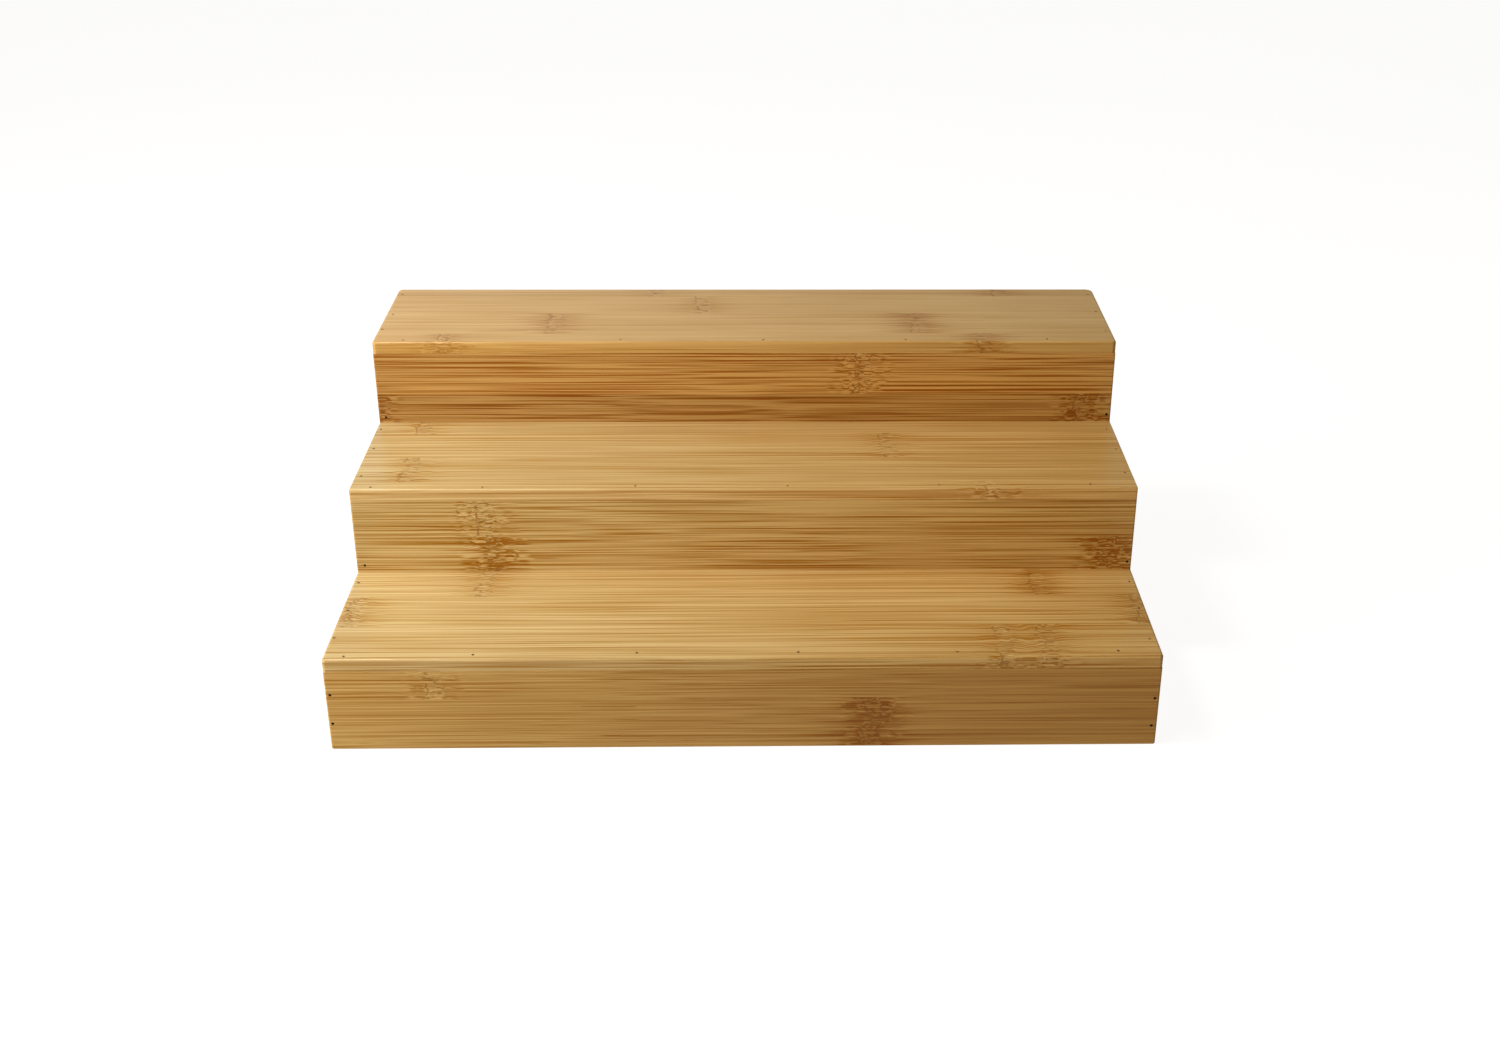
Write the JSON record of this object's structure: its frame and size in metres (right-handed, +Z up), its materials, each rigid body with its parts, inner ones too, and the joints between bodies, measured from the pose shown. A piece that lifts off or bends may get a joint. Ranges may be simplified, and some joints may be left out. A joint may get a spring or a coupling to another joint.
{
  "type": "tiered shelf riser",
  "caption": "Fixed stepped shelf riser in laminated bamboo: full-width treads over flush risers, stepped side panels, bradded and glued.",
  "frame": {"origin": "on the floor, under the middle of the footprint", "axes": "+X to the right along the boards, +Y from the front to the back, +Z up"},
  "size_m": [0.38, 0.2494, 0.136],
  "materials": {
    "tread_bamboo": "satin lacquer over light honey bamboo, fibres along the board",
    "riser_bamboo": "satin lacquer over caramel bamboo, fibres along the board",
    "side_bamboo": "satin lacquer over bamboo, fibres front to back",
    "brad_steel": "dark oxidised steel"
  },
  "bodies": {
    "root": {"left_side_foot_strip": "side_bamboo", "left_side_second_strip": "side_bamboo", "left_side_third_strip": "side_bamboo", "left_side_top_strip": "side_bamboo", "lower_riser_foot_strip": "riser_bamboo", "lower_riser_head_strip": "riser_bamboo", "lower_step_front_left_brads": "brad_steel", "lower_step_front_middle_brads": "brad_steel", "lower_step_front_right_brads": "brad_steel", "lower_step_left_brads": "brad_steel", "lower_step_right_brads": "brad_steel", "lower_tread_back_strip": "tread_bamboo", "lower_tread_front_strip": "tread_bamboo", "lower_tread_middle_strip": "tread_bamboo", "middle_riser_foot_strip": "riser_bamboo", "middle_riser_head_strip": "riser_bamboo", "middle_step_front_left_brads": "brad_steel", "middle_step_front_middle_brads": "brad_steel", "middle_step_front_right_brads": "brad_steel", "middle_step_left_brads": "brad_steel", "middle_step_right_brads": "brad_steel", "middle_tread_back_strip": "tread_bamboo", "middle_tread_front_strip": "tread_bamboo", "middle_tread_second_strip": "tread_bamboo", "middle_tread_third_strip": "tread_bamboo", "right_side_foot_strip": "side_bamboo", "right_side_second_strip": "side_bamboo", "right_side_third_strip": "side_bamboo", "right_side_top_strip": "side_bamboo", "upper_riser_foot_strip": "riser_bamboo", "upper_riser_head_strip": "riser_bamboo", "upper_step_front_left_brads": "brad_steel", "upper_step_front_middle_brads": "brad_steel", "upper_step_front_right_brads": "brad_steel", "upper_step_left_brads": "brad_steel", "upper_step_right_brads": "brad_steel", "upper_tread_back_strip": "tread_bamboo", "upper_tread_front_strip": "tread_bamboo", "upper_tread_second_strip": "tread_bamboo", "upper_tread_third_strip": "tread_bamboo"}
  },
  "joints": []
}
